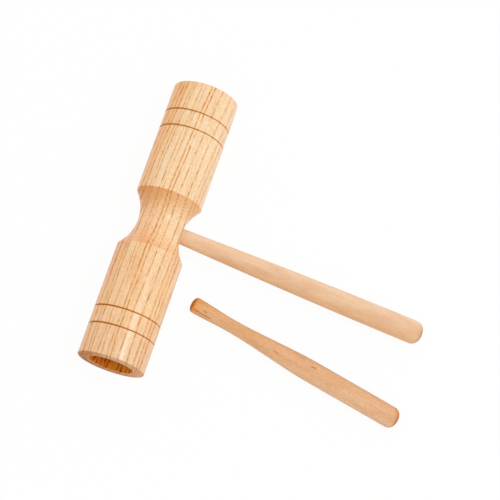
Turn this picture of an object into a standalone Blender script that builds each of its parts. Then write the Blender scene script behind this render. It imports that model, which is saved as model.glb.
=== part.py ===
"""Two-tone wood block: a turned tone block on a stick handle, with its loose beater beside it.

The set lies on a table at Z = 0 and is modelled in metres. The block's axis runs along Y, the
handle reaches out along +X and droops until its free end touches the table, and the beater lies
on the table next to the handle. The origin is below the middle of the whole set.
"""

import math

import bmesh
import bpy
import numpy as np
from mathutils import Vector

# Tone block: one turned piece of ash with a drum at each end
BLOCK_LENGTH = 0.200
DRUM_DIAMETER = 0.046
RIM_ROUND = 0.0010

# Waist: a round cove between the two drums, where the handle goes in
WAIST_DIAMETER = 0.031
WAIST_WIDTH = 0.0403
SHOULDER_ROUND = 0.0015

# Resonance chambers: equal bores of unlike depth, which give the two notes
CHAMBER_DIAMETER = 0.0302
LOW_CHAMBER_DEPTH = 0.074
HIGH_CHAMBER_DEPTH = 0.058
CHAMBER_MOUTH_ROUND = 0.0006
CHAMBER_FLOOR_ROUND = 0.003

# Burnt rings: narrow V grooves turned into each drum
RINGS_PER_DRUM = 2
RING_FROM_END = 0.0212
RING_SPACING = 0.01225
RING_WIDTH = 0.0010
RING_DEPTH = 0.0006

# Handle: a tapered beech stick, glued into a blind socket in the waist
HANDLE_LENGTH = 0.2039
HANDLE_ROOT_DIAMETER = 0.0107
HANDLE_END_DIAMETER = 0.0167
HANDLE_SWELL_POWER = 1.75
HANDLE_DOME_DEPTH = 0.0069
ROOT_CHAMFER = 0.0005
SOCKET_DEPTH = 0.020
SEAT_CLEARANCE = 0.0003

# Beater: a loose turned beech striker with a slim end and a thick end
BEATER_LENGTH = 0.1634
BEATER_THICK_DIAMETER = 0.0153
BEATER_THICK_START = 0.097
BEATER_THICK_DOME_DEPTH = 0.0063
BEATER_NECK_DIAMETER = 0.0094
BEATER_NECK_PLACE = 0.031
BEATER_TIP_DIAMETER = 0.0111
BEATER_TIP_DOME_DEPTH = 0.0033

# Rounded ends of both sticks: 2 makes an ellipse, and more makes the corners fuller
DOME_FULLNESS = 2.3

# Where the beater lies: gaps from the block's side and the handle's axis to its slim tip
BEATER_TIP_FROM_DRUM = 0.0164
BEATER_TIP_FROM_HANDLE_AXIS = 0.0372
BEATER_HEADING = math.radians(-9.25)

# How finely the curves are divided
BLOCK_SEGMENTS = 64
STICK_SEGMENTS = 32
FILLET_STEPS = 3
COVE_STEPS = 8
DOME_STEPS = 6
TAPER_STEPS = 12
SHARP_ANGLE = math.radians(40)
MERGE_DISTANCE = 0.00001

ASH_COLOUR = (0.87, 0.55, 0.29, 1.0)
HANDLE_COLOUR = (0.81, 0.51, 0.29, 1.0)
BEATER_COLOUR = (0.77, 0.43, 0.23, 1.0)
WOOD_ROUGHNESS = 0.5

DRUM_RADIUS = DRUM_DIAMETER / 2
WAIST_RADIUS = WAIST_DIAMETER / 2
ROOT_RADIUS = HANDLE_ROOT_DIAMETER / 2
HANDLE_END_RADIUS = HANDLE_END_DIAMETER / 2
THICK_RADIUS = BEATER_THICK_DIAMETER / 2

# Distances along the handle's axis, measured from the block's axis
SOCKET_FLOOR = WAIST_RADIUS - SOCKET_DEPTH
HANDLE_ROOT = SOCKET_FLOOR + SEAT_CLEARANCE
HANDLE_TIP = HANDLE_ROOT + HANDLE_LENGTH
HANDLE_DOME_START = HANDLE_TIP - HANDLE_DOME_DEPTH

# The handle droops until the start of its dome rests on the table
HANDLE_DROOP = math.asin((DRUM_RADIUS - HANDLE_END_RADIUS) / HANDLE_DOME_START)


def arc(centre, radius, start, end, steps):
    """Points of a circular arc in the profile plane, both ends included, angles in radians."""
    angles = np.linspace(start, end, steps + 1)
    return [(centre[0] + radius * math.cos(a), centre[1] + radius * math.sin(a)) for a in angles]


def dome(radius, depth, tip):
    """Quarter superellipse from the tip on the axis out to the full radius, below the tip."""
    angles = np.linspace(math.pi / 2, 0, DOME_STEPS + 1)
    power = 2 / DOME_FULLNESS
    return [
        (radius * math.cos(a) ** power, tip - depth * (1 - math.sin(a) ** power)) for a in angles
    ]


def smooth_step(fraction):
    """Ease from 0 to 1 with level ends."""
    return fraction * fraction * (3 - 2 * fraction)


def ring_places():
    """Distances from the block's middle to the burnt rings of one drum, outermost first."""
    outermost = BLOCK_LENGTH / 2 - RING_FROM_END
    return [outermost - RING_SPACING * index for index in range(RINGS_PER_DRUM)]


def drum_profile(chamber_depth):
    """Half section of the upper half block, from its chamber's floor round to the waist's middle."""
    end = BLOCK_LENGTH / 2
    floor = end - chamber_depth
    bore = CHAMBER_DIAMETER / 2
    points = [(0, floor)]
    corner = (bore - CHAMBER_FLOOR_ROUND, floor + CHAMBER_FLOOR_ROUND)
    points += arc(corner, CHAMBER_FLOOR_ROUND, -math.pi / 2, 0, FILLET_STEPS)
    mouth = (bore + CHAMBER_MOUTH_ROUND, end - CHAMBER_MOUTH_ROUND)
    points += arc(mouth, CHAMBER_MOUTH_ROUND, math.pi, math.pi / 2, FILLET_STEPS)
    rim = (DRUM_RADIUS - RIM_ROUND, end - RIM_ROUND)
    points += arc(rim, RIM_ROUND, math.pi / 2, 0, FILLET_STEPS)
    for place in ring_places():
        points.append((DRUM_RADIUS, place + RING_WIDTH / 2))
        points.append((DRUM_RADIUS - RING_DEPTH, place))
        points.append((DRUM_RADIUS, place - RING_WIDTH / 2))
    return points + waist_profile()


def waist_profile():
    """Shoulder round and cove, down to the waist's narrowest point.

    The cove is an arc through the drum's radius at half the waist's width and through the
    waist's radius in the middle. The shoulder's arc touches the drum's side and the cove.
    """
    depth = DRUM_RADIUS - WAIST_RADIUS
    cove = ((WAIST_WIDTH / 2) ** 2 + depth**2) / (2 * depth)
    cove_centre = WAIST_RADIUS + cove
    shoulder_x = DRUM_RADIUS - SHOULDER_ROUND
    shoulder_z = math.sqrt((cove + SHOULDER_ROUND) ** 2 - (cove_centre - shoulder_x) ** 2)
    meeting = math.atan2(shoulder_z, shoulder_x - cove_centre)
    shoulder = (shoulder_x, shoulder_z)
    points = arc(shoulder, SHOULDER_ROUND, 0, meeting - math.pi, FILLET_STEPS)
    return points + arc((cove_centre, 0), cove, meeting, math.pi, COVE_STEPS)[1:]


def block_profile():
    """Whole half section: the high drum, then the low drum turned over below it."""
    low_drum = [(x, -z) for x, z in drum_profile(LOW_CHAMBER_DEPTH)]
    return drum_profile(HIGH_CHAMBER_DEPTH) + low_drum[-2::-1]


def handle_profile():
    """Domed free end, a taper that flattens towards that end, and the plain root in the socket."""
    taper = []
    for fraction in np.linspace(1, 0, TAPER_STEPS + 1):
        swell = 1 - (1 - fraction) ** HANDLE_SWELL_POWER
        radius = ROOT_RADIUS + (HANDLE_END_RADIUS - ROOT_RADIUS) * swell
        taper.append((radius, WAIST_RADIUS + (HANDLE_DOME_START - WAIST_RADIUS) * fraction))
    root = [
        (ROOT_RADIUS, HANDLE_ROOT + ROOT_CHAMFER),
        (ROOT_RADIUS - ROOT_CHAMFER, HANDLE_ROOT),
        (0, HANDLE_ROOT),
    ]
    return dome(HANDLE_END_RADIUS, HANDLE_DOME_DEPTH, HANDLE_TIP) + taper[1:] + root


def beater_profile():
    """Thick domed end at the top, a smooth shoulder down to the neck, and the swollen slim tip."""
    tip_radius = BEATER_TIP_DIAMETER / 2
    neck_radius = BEATER_NECK_DIAMETER / 2
    points = dome(THICK_RADIUS, BEATER_THICK_DOME_DEPTH, BEATER_LENGTH)
    shoulder_length = BEATER_THICK_START - BEATER_NECK_PLACE
    for fraction in np.linspace(1, 0, TAPER_STEPS + 1):
        radius = neck_radius + (THICK_RADIUS - neck_radius) * smooth_step(fraction)
        points.append((radius, BEATER_NECK_PLACE + shoulder_length * fraction))
    swell_length = BEATER_NECK_PLACE - BEATER_TIP_DOME_DEPTH
    for fraction in np.linspace(1, 0, TAPER_STEPS // 2 + 1)[1:-1]:
        radius = tip_radius + (neck_radius - tip_radius) * smooth_step(fraction)
        points.append((radius, BEATER_TIP_DOME_DEPTH + swell_length * fraction))
    slim_end = [(x, -z) for x, z in dome(tip_radius, BEATER_TIP_DOME_DEPTH, 0)]
    return points + slim_end[::-1]


def wood(name, colour):
    """Smooth sanded wood in one colour."""
    material = bpy.data.materials.new(name)
    material.use_nodes = True
    shader = material.node_tree.nodes["Principled BSDF"]
    shader.inputs["Base Color"].default_value = colour
    shader.inputs["Roughness"].default_value = WOOD_ROUGHNESS
    shader.inputs["Metallic"].default_value = 0.0
    material.diffuse_color = colour
    return material


def add_empty(name, collection, parent=None, location=(0, 0, 0)):
    """Axes that carry one sub-assembly."""
    empty = bpy.data.objects.new(name, None)
    empty.parent = parent
    empty.location = location
    collection.objects.link(empty)
    return empty


def turn(name, profile, segments, material, collection):
    """A piece turned on its own Z axis from a half section."""
    mesh = bpy.data.meshes.new(name)
    points = [(x, 0, z) for x, z in profile]
    mesh.from_pydata(points, [(i, i + 1) for i in range(len(points) - 1)], [])
    mesh.materials.append(material)
    piece = bpy.data.objects.new(name, mesh)
    screw = piece.modifiers.new("turning", "SCREW")
    screw.axis = "Z"
    screw.angle = 2 * math.pi
    screw.steps = segments
    screw.render_steps = segments
    screw.use_merge_vertices = True
    screw.merge_threshold = MERGE_DISTANCE
    collection.objects.link(piece)
    return piece


def socket_cutter(collection):
    """The drill for the handle's blind socket, along the handle's own Z axis."""
    length = DRUM_RADIUS - SOCKET_FLOOR
    shape = bmesh.new()
    radius = ROOT_RADIUS + SEAT_CLEARANCE
    bmesh.ops.create_cone(
        shape, cap_ends=True, segments=STICK_SEGMENTS, radius1=radius, radius2=radius, depth=length
    )
    bmesh.ops.translate(shape, verts=shape.verts, vec=(0, 0, SOCKET_FLOOR + length / 2))
    mesh = bpy.data.meshes.new("socket_drill")
    shape.to_mesh(mesh)
    shape.free()
    cutter = bpy.data.objects.new("socket_drill", mesh)
    cutter.hide_render = True
    cutter.display_type = "WIRE"
    collection.objects.link(cutter)
    return cutter


def apply_modifiers(piece):
    """Turn the evaluated shape into the piece's own mesh, smooth except at true edges."""
    graph = bpy.context.evaluated_depsgraph_get()
    mesh = bpy.data.meshes.new_from_object(piece.evaluated_get(graph))
    profile = piece.data
    piece.modifiers.clear()
    piece.data = mesh
    bpy.data.meshes.remove(profile)
    mesh.name = piece.name
    mesh.shade_smooth()
    mesh.set_sharp_from_angle(angle=SHARP_ANGLE)


def build_instrument(root, parts, cutters):
    """The tone block and the handle that is glued into it."""
    centre = add_empty("instrument", parts, root, (0, 0, DRUM_RADIUS))
    block = turn("tone_block", block_profile(), BLOCK_SEGMENTS, wood("ash", ASH_COLOUR), parts)
    block.parent = centre
    block.rotation_euler = (-math.pi / 2, 0, 0)

    handle_material = wood("handle_beech", HANDLE_COLOUR)
    handle = turn("handle", handle_profile(), STICK_SEGMENTS, handle_material, parts)
    drill = socket_cutter(cutters)
    for stick in (handle, drill):
        stick.parent = centre
        stick.rotation_euler = (0, math.pi / 2 + HANDLE_DROOP, 0)

    socket = block.modifiers.new("handle_socket", "BOOLEAN")
    socket.operation = "DIFFERENCE"
    socket.solver = "EXACT"
    socket.object = drill
    return [block, handle]


def build_beater(root, parts):
    """The loose beater, lying level on its thick part, with its origin at its slim tip."""
    beater = turn(
        "beater", beater_profile(), STICK_SEGMENTS, wood("beater_beech", BEATER_COLOUR), parts
    )
    beater.parent = root
    tip_x = DRUM_RADIUS + BEATER_TIP_FROM_DRUM
    beater.location = (tip_x, -BEATER_TIP_FROM_HANDLE_AXIS, THICK_RADIUS)
    beater.rotation_euler = (0, math.pi / 2, BEATER_HEADING)
    return [beater]


def centre_on_origin(root, pieces):
    """Move the set until the origin is below the middle of its box, at the table."""
    bpy.context.view_layer.update()
    corners = [p.matrix_world @ v.co for p in pieces for v in p.data.vertices]
    low = Vector(min(corner[axis] for corner in corners) for axis in range(3))
    high = Vector(max(corner[axis] for corner in corners) for axis in range(3))
    middle = (low + high) / 2
    root.location = (-middle.x, -middle.y, -low.z)
    bpy.context.view_layer.update()
    return low + root.location, high + root.location


def main():
    """Clear the scene, build the set and print its box."""
    for old in list(bpy.data.objects):
        bpy.data.objects.remove(old, do_unlink=True)
    parts = bpy.data.collections.new("two_tone_wood_block")
    cutters = bpy.data.collections.new("cutters")
    for collection in (parts, cutters):
        bpy.context.scene.collection.children.link(collection)

    root = add_empty("wood_block_set", parts)
    pieces = build_instrument(root, parts, cutters) + build_beater(root, parts)
    bpy.context.view_layer.update()
    for piece in pieces:
        apply_modifiers(piece)
    low, high = centre_on_origin(root, pieces)
    print("box in mm:", [[round(c * 1000, 2) for c in corner] for corner in (low, high)])
    print("handle droop in degrees:", round(math.degrees(HANDLE_DROOP), 2))


main()
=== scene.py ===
"""Looks of a two-tone wood block: a turned ash block, its beech handle and a loose beech beater.

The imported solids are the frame. Each piece here is a fine surface of revolution that stands in the
place of one solid, and it is cut out of procedural wood whose grain runs along the piece. Shapes
are in metres, and the wood's own measures are in millimetres.
"""

import logging
import math
from dataclasses import dataclass, field
from enum import Enum
from functools import reduce
from typing import ClassVar

import bpy
import numpy as np
from mathutils import Euler, Matrix, Vector


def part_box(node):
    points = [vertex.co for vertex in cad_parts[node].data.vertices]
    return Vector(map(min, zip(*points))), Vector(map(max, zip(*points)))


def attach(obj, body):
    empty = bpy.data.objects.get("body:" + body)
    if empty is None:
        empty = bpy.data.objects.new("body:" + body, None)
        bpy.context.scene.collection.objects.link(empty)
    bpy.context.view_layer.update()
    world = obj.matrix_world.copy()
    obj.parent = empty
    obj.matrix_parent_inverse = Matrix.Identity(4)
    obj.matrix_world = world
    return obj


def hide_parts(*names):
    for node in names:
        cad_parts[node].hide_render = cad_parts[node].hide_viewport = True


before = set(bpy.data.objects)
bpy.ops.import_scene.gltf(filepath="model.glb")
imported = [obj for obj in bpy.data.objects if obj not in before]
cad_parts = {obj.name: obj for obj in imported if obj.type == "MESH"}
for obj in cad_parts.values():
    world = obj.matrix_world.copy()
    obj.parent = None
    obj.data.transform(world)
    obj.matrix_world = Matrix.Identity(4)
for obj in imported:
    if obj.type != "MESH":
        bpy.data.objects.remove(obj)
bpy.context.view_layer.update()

LOG = logging.getLogger("wood_block")
MILLIMETRE = 0.001
SAME_POINT = 1e-7
QUARTER_TURN = math.pi / 2
SHARP_EDGE = math.radians(38)
DOME_FULLNESS = 2.3
COAT_ROUGHNESS = 0.2
MIX_FIRST = 6
MIX_SECOND = 7
MIX_RESULT = 2

Point = tuple[float, float]
Span = tuple[float, float]
Colour = tuple[float, float, float]
Direction = tuple[float, float, float]
Mesh = bpy.types.Mesh
Material = bpy.types.Material
Piece = bpy.types.Object
Socket = bpy.types.NodeSocket
Feed = float | Socket
Value = float | Socket | Colour | Vector | Euler


class Body(Enum):
    """The bodies that the pieces move with."""

    INSTRUMENT = "instrument"
    BEATER = "beater"


class Solid(Enum):
    """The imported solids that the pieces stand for."""

    BLOCK = "tone_block"
    HANDLE = "handle"
    BEATER = "beater"


class Slot(Enum):
    """The record's material slots."""

    BLOCK = "ash_block"
    HANDLE = "beech_handle"
    BEATER = "beech_beater"


class Trait(Enum):
    """Per-point values that the surfaces carry for their wood, and for the shade and light painted on
    it.
    """

    END_GRAIN = "end_grain"
    SCORCH = "scorch"
    BORED = "bored"
    SAWN = "sawn"
    WAIST = "waist"
    # Painted shade on the cove that faces the low end.
    SHADED_COVE = "pooled"
    # Painted light on the cove that faces the high end.
    LIT_COVE = "faded"


class Way(Enum):
    """How a value goes from one stop to the next."""

    EASED = "SMOOTHSTEP"
    STRAIGHT = "LINEAR"
    STEPPED = "CONSTANT"


def straight(start: Point, end: Point, steps: int) -> np.ndarray:
    """Equal steps along a straight run of a half section, as rows of radius and place on the axis."""
    return np.linspace(start, end, steps + 1)


def arc(centre: Point, radius: float, start: float, end: float, steps: int) -> np.ndarray:
    """A round stretch: the centre plus the radius times the cosine and sine of equal steps of angle."""
    angles = np.linspace(start, end, steps + 1)
    return np.asarray(centre) + radius * np.column_stack([np.cos(angles), np.sin(angles)])


def swelling(start: Point, end: Point, growth: np.ndarray) -> np.ndarray:
    """Equal steps along the axis, by each of which the radius has made that share of its change."""
    places = np.linspace(start[1], end[1], len(growth))
    return np.column_stack([start[0] + (end[0] - start[0]) * growth, places])


def dome(radius: float, depth: float, base: float, steps: int) -> np.ndarray:
    """Quarter superellipse from the full radius at the base out to the tip on the axis.

    Radius and rise are the cosine and the sine of an angle, each to the power of 2 over the
    fullness, so that a fullness of 2 is an ellipse and more makes the corner fuller.

    Args:
        radius: Radius at the base.
        depth: Distance from the base to the tip; a negative depth points down the axis.
        base: Place of the base along the axis.
        steps: How many equal steps of angle to take.

    Returns:
        Rows of radius and place, from the base to the tip.
    """
    angles = np.linspace(0, QUARTER_TURN, steps + 1)
    power = 2 / DOME_FULLNESS
    narrowing, rise = np.cos(angles).clip(0) ** power, np.sin(angles) ** power
    section = np.column_stack([radius * narrowing, base + depth * rise])
    section[-1, 0] = 0
    return section


def groove(radius: float, place: float, width: float, depth: float, steps: int) -> np.ndarray:
    """A turned groove: the radius less the depth times the squared cosine across the width.

    A level lip of half the groove's width lies on either side of it.

    Args:
        radius: Radius of the surface that it is cut in.
        place: Place of its middle along the axis.
        width: Width at the surface.
        depth: Depth in the middle.
        steps: How many equal steps to take.

    Returns:
        Rows of radius and place, in the direction of the axis.
    """
    across = np.linspace(-1, 1, steps + 1)
    within = np.clip(across, -0.5, 0.5)
    return np.column_stack([radius - depth * np.cos(math.pi * within) ** 2, place + width * across])


def ease(fraction: np.ndarray) -> np.ndarray:
    """Ease from 0 to 1 with level ends: three times the square less twice the cube."""
    return fraction * fraction * (3 - 2 * fraction)


def join_runs(runs: list[np.ndarray]) -> np.ndarray:
    """String the runs of a half section together and drop points that repeat.

    Args:
        runs: Runs of radius and place, in order.

    Returns:
        One half section.
    """
    section = np.concatenate(runs)
    steps = np.linalg.norm(np.diff(section, axis=0), axis=1)
    return section[np.concatenate([[True], steps > SAME_POINT])]


def placed(place: Vector, turn: tuple[float, float, float]) -> Matrix:
    """From a turning's own frame to the object's: a turn by three angles, then a move to the place."""
    return Matrix.Translation(place) @ Euler(turn).to_matrix().to_4x4()


def turned_mesh(name: str, section: np.ndarray, columns: int, placing: Matrix) -> Mesh:
    """Surface of revolution of a half section that starts and ends on the axis.

    A point is (radius cos a, radius sin a, place), with a running once round the axis, carried to
    its place in the object. The section climbs its outer side, so the faces point outwards, and
    both poles are closed by fans.

    Args:
        name: The mesh's name.
        section: Rows of radius and place along the axis.
        columns: How many columns go round.
        placing: From the turning's own frame, with its axis on Z, to the object's.

    Returns:
        The closed mesh.
    """
    angles = np.linspace(0, 2 * math.pi, columns, endpoint=False)
    radius, place = section[1:-1, :1], section[1:-1, 1:]
    rings = np.stack([radius * np.cos(angles), radius * np.sin(angles), place + 0 * angles], axis=-1)
    poles = np.array([[0, 0, section[0, 1]], [0, 0, section[-1, 1]]])
    points = np.concatenate([rings.reshape(-1, 3), poles])
    matrix = np.array(placing)
    points = points @ matrix[:3, :3].T + matrix[:3, 3]

    index = np.arange(len(radius) * columns).reshape(-1, columns)
    after = np.roll(index, -1, axis=1)
    quads = np.stack([index[:-1], after[:-1], after[1:], index[1:]], axis=-1).reshape(-1, 4)
    first, last = np.full(columns, index.size), np.full(columns, index.size + 1)
    low_fan = np.stack([first, after[0], index[0]], axis=-1)
    high_fan = np.stack([last, index[-1], after[-1]], axis=-1)
    corners = np.concatenate([quads.ravel(), low_fan.ravel(), high_fan.ravel()])
    sides = np.concatenate([np.full(len(quads), 4), np.full(2 * columns, 3)])

    mesh = bpy.data.meshes.new(name)
    mesh.vertices.add(len(points))
    mesh.vertices.foreach_set("co", points.astype(np.float32).ravel())
    mesh.loops.add(len(corners))
    mesh.loops.foreach_set("vertex_index", corners.astype(np.int32))
    mesh.polygons.add(len(sides))
    mesh.polygons.foreach_set("loop_start", (np.cumsum(sides) - sides).astype(np.int32))
    mesh.update(calc_edges=True)
    mesh.validate()
    return mesh


def own_coordinates(mesh: Mesh, placing: Matrix) -> tuple[np.ndarray, np.ndarray]:
    """Points and normals of a mesh in its turning's own frame.

    Args:
        mesh: A mesh in the object's frame.
        placing: From the turning's frame to the object's.

    Returns:
        The points and the unit normals, one row each.
    """
    points = np.empty(len(mesh.vertices) * 3, np.float32)
    normals = np.empty_like(points)
    mesh.vertices.foreach_get("co", points)
    mesh.vertex_normals.foreach_get("vector", normals)
    matrix = np.array(placing)
    turn = matrix[:3, :3]
    return (points.reshape(-1, 3) - matrix[:3, 3]) @ turn, normals.reshape(-1, 3) @ turn


def carry(mesh: Mesh, trait: Trait, values: np.ndarray) -> None:
    """Store one value a point on the mesh, for its wood to read."""
    layer = mesh.attributes.new(trait.value, "FLOAT", "POINT")
    layer.data.foreach_set("value", values.astype(np.float32))


def show(name: str, mesh: Mesh) -> Piece:
    """Smooth the mesh except at true edges and put it in the scene.

    Args:
        name: The piece's name.
        mesh: Its finished mesh.

    Returns:
        The new object, at the origin.
    """
    mesh.shade_smooth()
    mesh.set_sharp_from_angle(angle=SHARP_EDGE)
    piece = bpy.data.objects.new(name, mesh)
    bpy.context.scene.collection.objects.link(piece)
    return piece


@dataclass(frozen=True)
class Role:
    """What a piece is in the set: its name, its wood's name, its body, its solid and its slot."""

    piece: str
    wood: str
    body: Body
    solid: Solid
    slot: Slot

    def fill(self, mesh: Mesh) -> Piece:
        """Show a finished mesh as the piece that stands for the solid.

        Args:
            mesh: The piece's mesh.

        Returns:
            The piece.
        """
        piece = show(self.piece, mesh)
        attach(piece, self.body.value)
        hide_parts(self.solid.value)
        return piece


class Sketch:
    """The node tree of a material or of the world, drawn by calls that hand sockets on."""

    def __init__(self, owner: Material | bpy.types.World) -> None:
        """Open the owner's node tree.

        Args:
            owner: The material or the world to draw.
        """
        owner.use_nodes = True
        self.owner = owner
        self.nodes = owner.node_tree.nodes
        self.links = owner.node_tree.links

    def feed(self, socket: Socket, value: Value) -> None:
        """Link a socket to the value, or set it where the value is a constant.

        Args:
            socket: The input to feed.
            value: An output, a number, a colour or a vector.
        """
        if isinstance(value, Socket):
            self.links.new(value, socket)
        elif socket.type == "RGBA":
            socket.default_value = (*value, 1.0)
        else:
            socket.default_value = value

    def add(self, kind: str, feeds: dict[str | int, Value], **settings: str | bool) -> bpy.types.Node:
        """Add a shader node, set its own properties and feed its inputs.

        Args:
            kind: The node's type, less the words that all shader nodes begin with.
            feeds: What goes into its inputs, by their names or numbers.
            settings: Its own properties.

        Returns:
            The node.
        """
        node = self.nodes.new(f"ShaderNode{kind}")
        for name, setting in settings.items():
            setattr(node, name, setting)
        for key, value in feeds.items():
            self.feed(node.inputs[key], value)
        return node

    def math(self, operation: str, first: Feed, second: Feed = 0.0, clamp: bool = False) -> Socket:
        """The result of one operation on two values, held between 0 and 1 where asked."""
        node = self.add("Math", {0: first, 1: second}, operation=operation, use_clamp=clamp)
        return node.outputs[0]

    def total(self, *terms: Feed) -> Socket:
        """The sum of the terms."""
        return reduce(lambda first, second: self.math("ADD", first, second), terms)

    def product(self, *factors: Feed) -> Socket:
        """The product of the factors."""
        return reduce(lambda first, second: self.math("MULTIPLY", first, second), factors)

    def squares(self, first: Socket, second: Socket) -> Socket:
        """The sum of the squares of two values."""
        return self.total(self.product(first, first), self.product(second, second))

    def split(self, vector: Socket) -> tuple[Socket, Socket, Socket]:
        """The three parts of a vector."""
        return tuple(self.add("SeparateXYZ", {0: vector}).outputs)

    def between(
        self,
        value: Feed,
        low: float,
        high: float,
        start: float = 0.0,
        end: float = 1.0,
        way: Way = Way.EASED,
    ) -> Socket:
        """A value carried from low and high to start and end, eased or straight, and held there."""
        feeds = {"Value": value, "From Min": low, "From Max": high, "To Min": start, "To Max": end}
        return self.add("MapRange", feeds, interpolation_type=way.value).outputs["Result"]

    def chart(self, value: Socket, stops: list[tuple[float, Colour]], way: Way) -> Socket:
        """Three values read from a chart.

        Args:
            value: Place on the chart, from 0 to 1.
            stops: Places and the values there.
            way: Stepped, each stop's values up to the next, or straight from stop to stop.

        Returns:
            The three values at that place, as one colour.
        """
        node = self.add("ValToRGB", {0: value})
        node.color_ramp.interpolation = way.value
        elements = node.color_ramp.elements
        while len(elements) < len(stops):
            elements.new(0.5)
        for element, (place, values) in zip(elements, stops):
            element.position = place
            element.color = (*values, 1.0)
        return node.outputs["Color"]

    def mix(self, factor: Feed, first: Socket | Colour, second: Socket | Colour) -> Socket:
        """Blend of two colours, from the first at a factor of 0 to the second at 1."""
        feeds = {"Factor": factor, MIX_FIRST: first, MIX_SECOND: second}
        return self.add("Mix", feeds, data_type="RGBA", clamp_factor=True).outputs[MIX_RESULT]

    def shade(self, colour: Socket, level: Feed | Colour) -> Socket:
        """A colour times a level or another colour."""
        return self.add("VectorMath", {0: colour, 1: level}, operation="MULTIPLY").outputs[0]

    def tint(self, share: Socket, colour: Socket, tint: Colour) -> Socket:
        """A colour that takes on a share of a tint."""
        return self.mix(share, colour, self.shade(colour, tint))


class WoodSketch(Sketch):
    """The node tree of a solid wood, with patterns drawn in its grain.

    Grain coordinates are object coordinates in millimetres in a piece's own frame, with the grain
    along Z.
    """

    def __init__(self, name: str, placing: Matrix) -> None:
        """Start a wood and find its grain.

        Args:
            name: The material's name.
            placing: From the piece's own frame to the object's.
        """
        super().__init__(bpy.data.materials.new(name))
        feeds = {
            "Vector": self.add("TexCoord", {}).outputs["Object"],
            "Location": placing.translation,
            "Rotation": placing.to_euler(),
            "Scale": (MILLIMETRE,) * 3,
        }
        self.grain = self.add("Mapping", feeds, vector_type="TEXTURE").outputs["Vector"]

    def reach(self, direction: Direction) -> Socket:
        """How far a point lies in one direction: the dot product with its grain coordinates."""
        node = self.add("VectorMath", {0: self.grain, 1: direction}, operation="DOT_PRODUCT")
        return node.outputs["Value"]

    def cells(self, across: float, along: float) -> Socket:
        """Coordinates in which one unit is a cell of the grain of that width and that length."""
        node = self.add("VectorMath", {0: self.grain, 1: (across, across, along)}, operation="DIVIDE")
        return node.outputs[0]

    def noise(self, across: float, along: float, detail: float) -> Socket:
        """Cloudy noise about 0.5 in cells of that width and length, with finer layers by the detail."""
        feeds = {"Vector": self.cells(across, along), "Scale": 1.0, "Detail": detail}
        return self.add("TexNoise", feeds).outputs["Fac"]

    def spindles(self, across: float, along: float) -> tuple[Socket, Socket]:
        """Distance to the nearest of scattered points, and a random number for that point.

        Args:
            across: Spacing across the grain in millimetres.
            along: Spacing along the grain in millimetres.

        Returns:
            The distance, in cells, and the random number.
        """
        node = self.add("TexVoronoi", {"Vector": self.cells(across, along), "Scale": 1.0})
        parts = self.add("SeparateColor", {0: node.outputs["Color"]})
        return node.outputs["Distance"], parts.outputs[0]

    def trait(self, trait: Trait) -> Socket:
        """A value that the surface carries."""
        return self.add("Attribute", {}, attribute_name=trait.value).outputs["Fac"]

    def finish(
        self,
        colour: Socket,
        roughness: Socket,
        height: Socket,
        relief: float,
        gloss: float,
        coat: Feed = 0.0,
    ) -> Material:
        """Feed the material's shader.

        Args:
            colour: Colour all over the surface.
            roughness: Roughness all over the surface.
            height: Height of the fine relief, from 0 to 1.
            relief: Depth of that relief in metres.
            gloss: Specular level, the same all over.
            coat: Share of a thin clear coat.

        Returns:
            The finished material.
        """
        bump = self.add("Bump", {"Strength": 1.0, "Distance": relief, "Height": height})
        feeds = {
            "Base Color": colour,
            "Roughness": roughness,
            "Normal": bump.outputs["Normal"],
            "Specular IOR Level": gloss,
            "Coat Weight": coat,
            "Coat Roughness": COAT_ROUGHNESS,
        }
        shader = self.nodes["Principled BSDF"]
        for name, value in feeds.items():
            self.feed(shader.inputs[name], value)
        return self.owner


@dataclass(frozen=True)
class Pattern:
    """Cloudy noise drawn out along the grain, with the span of it that shows and what that gives."""

    across: float
    along: float
    span: Span
    result: Span = (0.0, 1.0)
    detail: float = 2.0

    def draw(self, sketch: WoodSketch) -> Socket:
        """The pattern's value at a point."""
        noise = sketch.noise(self.across, self.along, self.detail)
        return sketch.between(noise, *self.span, *self.result)


@dataclass(frozen=True)
class Fibre:
    """Fine threads along the grain, which shade the wood, vary its gloss and stand up from it."""

    across: float
    along: float
    detail: float
    shades: Span
    roughness: Span
    height: float
    span: Span = (0.25, 0.75)

    def draw(self, sketch: WoodSketch) -> Socket:
        """The threads as noise about 0.5."""
        return sketch.noise(self.across, self.along, self.detail)


@dataclass(frozen=True)
class Wander:
    """A slow drift of the growth rings: how far the noise is past its middle, times twice the reach."""

    across: float
    along: float
    reach: float
    middle: float = 0.5
    detail: float = 2.0

    def draw(self, sketch: WoodSketch) -> Socket:
        """The drift at a point, in millimetres."""
        noise = sketch.noise(self.across, self.along, self.detail)
        return sketch.product(sketch.math("SUBTRACT", noise, self.middle), 2 * self.reach)


@dataclass(frozen=True)
class Blush:
    """A slow change of colour: a tint that grows between two places in one direction.

    Where it names a trait, it shows only as far as the surface has that trait. Some are the wood's own
    colour, and some are painted light and shade on the side towards or away from the light.
    """

    direction: Direction
    start: float
    end: float
    tint: Colour
    trait: Trait | None = None

    def over(self, sketch: WoodSketch, colour: Socket) -> Socket:
        """Lay the tint on a colour.

        Args:
            sketch: The wood's node tree.
            colour: The colour so far.

        Returns:
            The tinted colour.
        """
        share = sketch.between(sketch.reach(self.direction), self.start, self.end)
        if self.trait is not None:
            share = sketch.product(sketch.trait(self.trait), share)
        return sketch.tint(share, colour, self.tint)


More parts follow.
